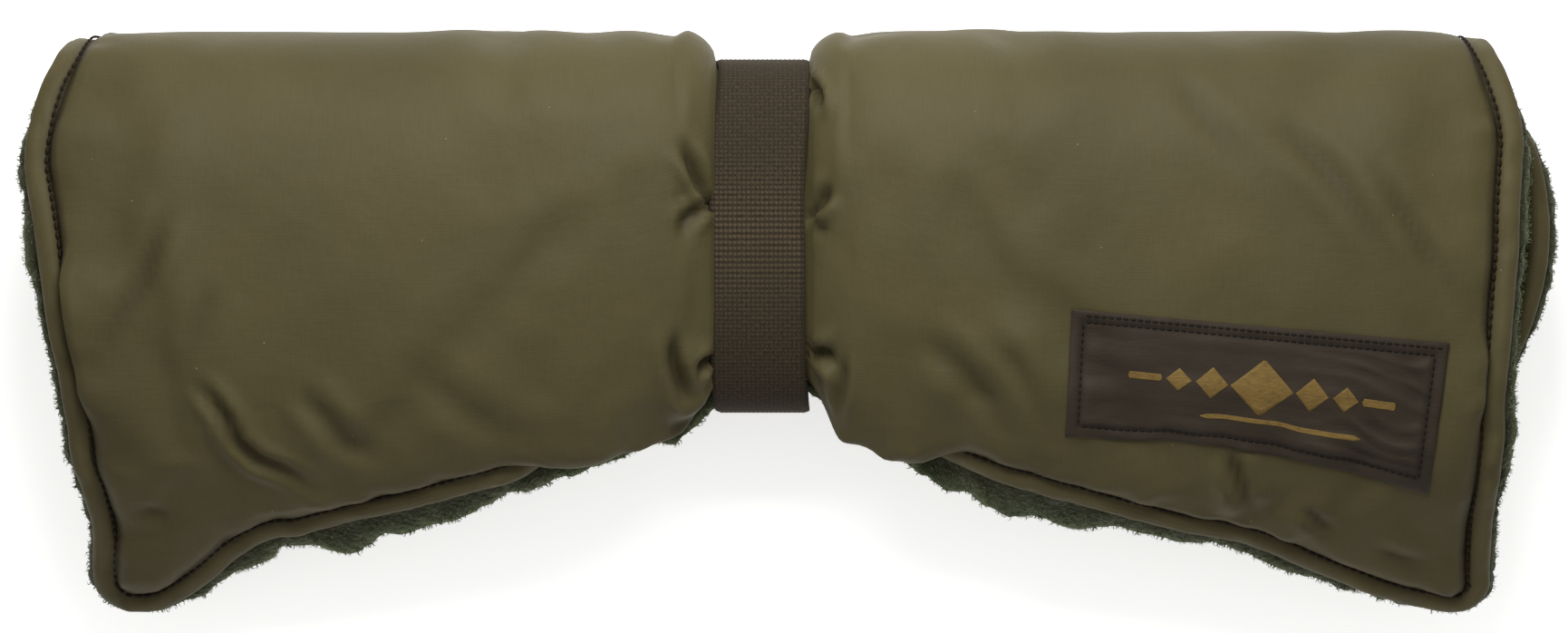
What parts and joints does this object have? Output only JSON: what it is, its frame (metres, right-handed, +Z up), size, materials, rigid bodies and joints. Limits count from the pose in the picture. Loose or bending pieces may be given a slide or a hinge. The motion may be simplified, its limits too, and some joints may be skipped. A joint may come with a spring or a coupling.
{
  "type": "hand warmer muff",
  "caption": "Padded tube muff for both hands, open at its ends, with a pile lining, two free hem corners and an elastic band that cinches its middle.",
  "frame": {"origin": "on the surface that the muff lies on, under the middle of its box", "axes": "+X along the tube towards the end with the label, +Y across it away from the free hem corners, +Z up out of the front"},
  "size_m": [0.4186, 0.1624, 0.0711],
  "materials": {
    "shell_fabric": "plain-weave olive nylon with a soft sheen, padded and lightly creased",
    "pile": "short curly pile, green with pale tips",
    "batting": "matt, fibrous, off-white",
    "webbing": "dark brown woven elastic with ribs across and a slight sheen",
    "thread": "dark brown polyester thread",
    "label_fabric": "dark brown close weave, slightly glossy",
    "label_print": "matt ochre print"
  },
  "bodies": {
    "waist": {"waist_shell": "shell_fabric", "waist_batting": "batting", "waist_lining": "pile", "waist_band": "webbing", "band_overlap": "webbing", "band_bartack": "thread"},
    "left_half": {"left_shell": "shell_fabric", "left_batting": "batting", "left_lining": "pile", "left_stitching": "thread"},
    "right_half": {"right_shell": "shell_fabric", "right_batting": "batting", "right_lining": "pile", "right_stitching": "thread", "label_patch": "label_fabric", "label_stitching": "thread", "label_motif": "label_print"},
    "left_flap": {"left_flap_shell": "shell_fabric", "left_flap_batting": "batting", "left_flap_lining": "pile", "left_flap_stitching": "thread"},
    "right_flap": {"right_flap_shell": "shell_fabric", "right_flap_batting": "batting", "right_flap_lining": "pile", "right_flap_stitching": "thread"}
  },
  "joints": [
    {"name": "left_fold", "type": "hinge", "parent": "waist", "child": "left_half", "pos_m": [-0.02053, 0.02455, 0.034], "axis": [0, 1, 0], "range_deg": [-35, 35]},
    {"name": "left_flap_lift", "type": "hinge", "parent": "left_half", "child": "left_flap", "pos_m": [-0.08053, -0.04341, 0.056], "axis": [-0.9999, -0.0139, 0], "range_deg": [0, 110]},
    {"name": "right_fold", "type": "hinge", "parent": "waist", "child": "right_half", "pos_m": [0.00447, 0.02455, 0.034], "axis": [0, -1, 0], "range_deg": [-35, 35]},
    {"name": "right_flap_lift", "type": "hinge", "parent": "right_half", "child": "right_flap", "pos_m": [0.06447, -0.04529, 0.056], "axis": [-0.9993, 0.0363, 0], "range_deg": [0, 110]}
  ]
}
